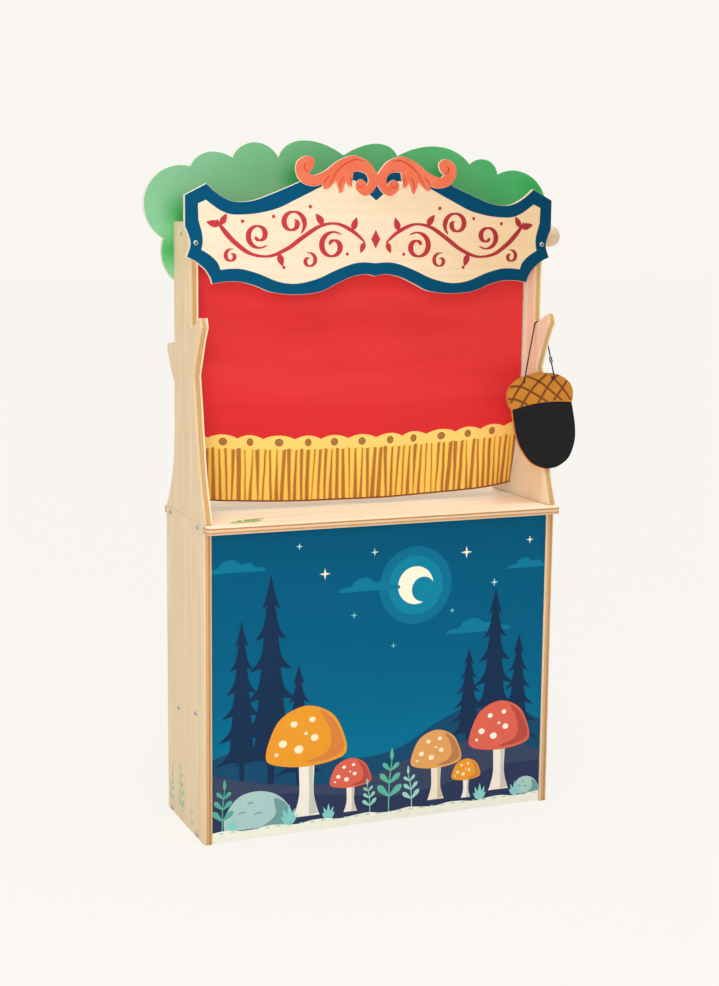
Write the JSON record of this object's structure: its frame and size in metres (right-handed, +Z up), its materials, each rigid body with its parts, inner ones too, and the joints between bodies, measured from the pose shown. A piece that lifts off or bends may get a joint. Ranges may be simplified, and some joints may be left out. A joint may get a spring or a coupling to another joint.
{
  "type": "puppet theatre stand",
  "caption": "Free-standing puppet theatre for children: cabinet with counter, branching posts, shaped name board, leafy backboard, roller curtain and hanging chalkboard.",
  "frame": {"origin": "on the floor under the middle of the cabinet", "axes": "+Z up, the audience towards -Y, the curtain's knob towards +X"},
  "size_m": [0.8166, 0.273, 1.2674],
  "materials": {
    "birch_plywood": "clear-lacquered birch plywood, satin",
    "counter_plywood": "clear-lacquered pale plywood, satin",
    "printed_panel": "printed night landscape on a thin board, satin",
    "sign_paint": "plywood with a painted blue border, satin",
    "coral_paint": "coral paint on plywood, satin",
    "leaf_paint": "green paint on plywood, satin",
    "turned_wood": "turned beech, waxed",
    "red_cloth": "plain woven cloth with a printed fringe",
    "chalkboard_paint": "matt chalkboard paint with a printed cap and rim",
    "black_cord": "waxed braided cord",
    "grey_sleeve": "moulded grey plastic",
    "plated_steel": "zinc-plated"
  },
  "bodies": {
    "stand": {"side_panel_left": "birch_plywood", "side_panel_right": "birch_plywood", "front_panel": "printed_panel", "bottom_board": "birch_plywood", "sloped_shelf": "birch_plywood", "counter_top": "counter_plywood", "screw_counter_front_left": "plated_steel", "screw_counter_rear_left": "plated_steel", "screw_shelf_front_left": "plated_steel", "screw_shelf_rear_left": "plated_steel", "screw_bottom_front_left": "plated_steel", "screw_bottom_rear_left": "plated_steel", "screw_counter_front_right": "plated_steel", "screw_counter_rear_right": "plated_steel", "screw_shelf_front_right": "plated_steel", "screw_shelf_rear_right": "plated_steel", "screw_bottom_front_right": "plated_steel", "screw_bottom_rear_right": "plated_steel", "post_left": "birch_plywood", "post_right": "birch_plywood", "dowel_front_left": "turned_wood", "dowel_rear_left": "turned_wood", "dowel_front_right": "turned_wood", "dowel_rear_right": "turned_wood", "sign_board": "sign_paint", "scroll_crest": "coral_paint", "foliage_board": "leaf_paint", "screw_sign_left": "plated_steel", "screw_sign_right": "plated_steel", "screw_foliage_left": "plated_steel", "screw_foliage_right": "plated_steel", "roller_pin": "plated_steel", "curtain": "red_cloth"},
    "roller": {"roller_dowel": "turned_wood", "roller_knob": "turned_wood", "curtain_roll": "red_cloth"},
    "cord_loop": {"cord_saddle": "black_cord"},
    "chalkboard": {"acorn_board": "chalkboard_paint", "cord_strand_left": "black_cord", "cord_strand_right": "black_cord", "cord_sleeve": "grey_sleeve"}
  },
  "joints": [
    {"name": "roller_turn", "type": "hinge", "parent": "stand", "child": "roller", "pos_m": [0, 0.007, 1.0958], "axis": [-1, 0, 0], "range_deg": [0, 2160], "deforming": ["curtain"]},
    {"name": "chalkboard_unhook", "type": "slide", "parent": "stand", "child": "cord_loop", "axis": [0, -0.87, 0.493], "range_m": [0, 0.06]},
    {"name": "chalkboard_swing", "type": "hinge", "parent": "cord_loop", "child": "chalkboard", "pos_m": [0.3425, -0.0518, 0.9341], "axis": [-1, 0, 0], "range_deg": [0, 40]}
  ]
}
